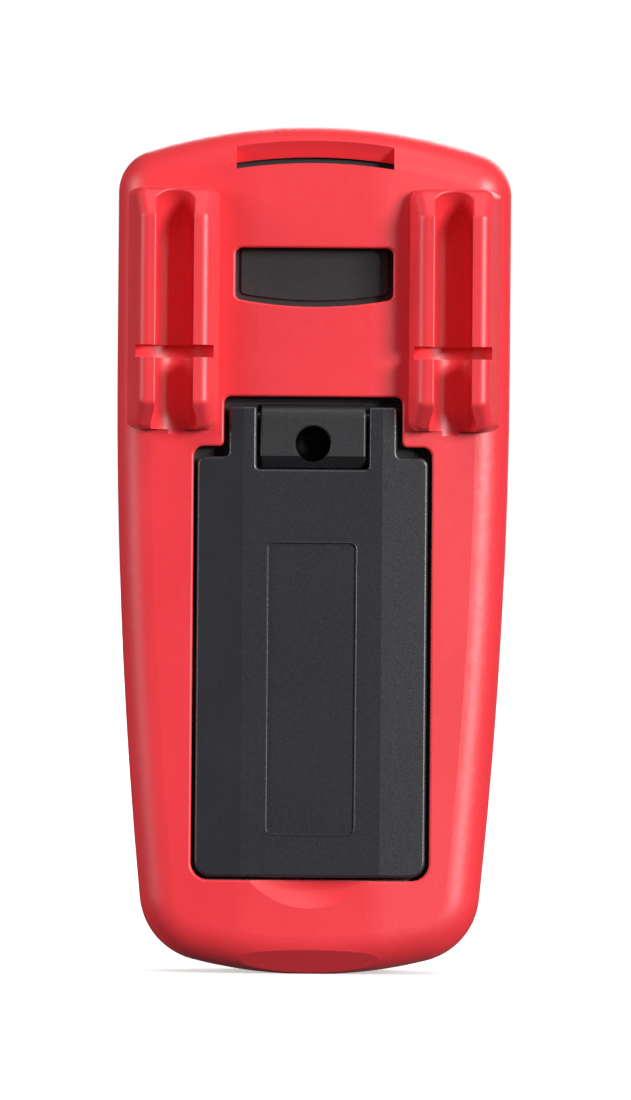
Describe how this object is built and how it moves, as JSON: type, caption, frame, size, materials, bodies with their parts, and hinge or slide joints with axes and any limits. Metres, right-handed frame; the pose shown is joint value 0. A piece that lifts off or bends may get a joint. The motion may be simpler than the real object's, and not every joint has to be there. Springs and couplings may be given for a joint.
{
  "type": "digital multimeter",
  "caption": "Handheld digital multimeter in a rubber holster, with a fold-out tilt stand, probe holders on its back, a rotary switch, push keys and plug jacks.",
  "frame": {"origin": "middle of the bounding box's base, on the surface that the meter stands on", "axes": "+Z from the foot to the top; +Y out of the display; -Y out of the back, where the stand and probe holders are; +X to the right as seen from the back"},
  "size_m": [0.0844, 0.045, 0.182],
  "materials": {
    "holster_rubber": "soft-touch red rubber, faint moulded grain",
    "case_plastic": "fine-grained dark grey plastic",
    "stand_plastic": "fine-grained dark grey plastic",
    "lens_clear": "clear polished window",
    "lcd": "grey-green display",
    "light_guide_white": "milky white",
    "inner_plastic": "plain light grey",
    "strip_rubber": "matt",
    "circuit_board": "green solder mask",
    "chip_black": "matt black",
    "membrane_rubber": "matt",
    "key_rubber": "soft matt grey",
    "knob_plastic": "fine-grained dark grey plastic",
    "pointer_white": "white inlay",
    "label_print": "satin printed label",
    "contact_brass": "bright",
    "screw_steel": "blackened",
    "detent_steel": "bright",
    "fuse_ceramic": "glazed ceramic",
    "fuse_cap": "nickel plated",
    "battery_jacket": "painted jacket",
    "jack_red": "satin red",
    "jack_black": "satin black"
  },
  "bodies": {
    "meter": {"battery": "battery_jacket", "battery_cover": "case_plastic", "battery_snap": "chip_black", "battery_studs": "contact_brass", "board_screw_1": "screw_steel", "board_screw_2": "screw_steel", "buzzer": "chip_black", "case_screw_1": "screw_steel", "case_screw_2": "screw_steel", "case_screw_3": "screw_steel", "case_screw_4": "screw_steel", "cover_insert": "contact_brass", "cover_screw": "screw_steel", "display_lens": "lens_clear", "face_label": "label_print", "front_case": "case_plastic", "fuse_10a": "fuse_ceramic", "fuse_10a_caps": "fuse_cap", "fuse_clip_10a_1": "contact_brass", "fuse_clip_10a_2": "contact_brass", "fuse_clip_ma_1": "contact_brass", "fuse_clip_ma_2": "contact_brass", "fuse_ma": "fuse_ceramic", "fuse_ma_caps": "fuse_cap", "holster": "holster_rubber", "jack_collar_a": "jack_red", "jack_collar_com": "jack_black", "jack_collar_ma": "jack_red", "jack_collar_v": "jack_red", "jack_sleeve_a": "contact_brass", "jack_sleeve_com": "contact_brass", "jack_sleeve_ma": "contact_brass", "jack_sleeve_v": "contact_brass", "keypad_membrane": "membrane_rubber", "lcd_frame": "inner_plastic", "lcd_panel": "lcd", "light_guide": "light_guide_white", "main_board": "circuit_board", "microchip": "chip_black", "rear_case": "case_plastic", "shunt_bar": "contact_brass", "zebra_strip_lower": "strip_rubber", "zebra_strip_upper": "strip_rubber"},
    "stand": {"tilt_stand": "stand_plastic"},
    "dial": {"knob": "knob_plastic", "knob_pointer": "pointer_white", "rotor": "inner_plastic", "wiper_ring": "contact_brass", "detent_ball_1": "detent_steel", "detent_ball_2": "detent_steel", "detent_spring_1": "detent_steel", "detent_spring_2": "detent_steel"},
    "key_1_body": {"key_1": "key_rubber"},
    "key_2_body": {"key_2": "key_rubber"},
    "key_3_body": {"key_3": "key_rubber"},
    "key_4_body": {"key_4": "key_rubber"},
    "key_5_body": {"key_5": "key_rubber"},
    "key_6_body": {"key_6": "key_rubber"}
  },
  "joints": [
    {"name": "stand_hinge", "type": "hinge", "parent": "meter", "child": "stand", "pos_m": [0, -0.01285, 0.1194], "axis": [-1, 0, 0], "range_deg": [0, 40]},
    {"name": "dial_turn", "type": "hinge", "parent": "meter", "child": "dial", "pos_m": [0, 0.0163, 0.067], "axis": [0, -1, 0], "range_deg": [0, 240]},
    {"name": "key_1_press", "type": "slide", "parent": "meter", "child": "key_1_body", "axis": [0, -1, 0], "range_m": [0, 0.0008], "stiffness_N_per_m": 200, "springref_m": -0.0004},
    {"name": "key_2_press", "type": "slide", "parent": "meter", "child": "key_2_body", "axis": [0, -1, 0], "range_m": [0, 0.0008], "stiffness_N_per_m": 200, "springref_m": -0.0004},
    {"name": "key_3_press", "type": "slide", "parent": "meter", "child": "key_3_body", "axis": [0, -1, 0], "range_m": [0, 0.0008], "stiffness_N_per_m": 200, "springref_m": -0.0004},
    {"name": "key_4_press", "type": "slide", "parent": "meter", "child": "key_4_body", "axis": [0, -1, 0], "range_m": [0, 0.0008], "stiffness_N_per_m": 200, "springref_m": -0.0004},
    {"name": "key_5_press", "type": "slide", "parent": "meter", "child": "key_5_body", "axis": [0, -1, 0], "range_m": [0, 0.0008], "stiffness_N_per_m": 200, "springref_m": -0.0004},
    {"name": "key_6_press", "type": "slide", "parent": "meter", "child": "key_6_body", "axis": [0, -1, 0], "range_m": [0, 0.0008], "stiffness_N_per_m": 200, "springref_m": -0.0004}
  ]
}
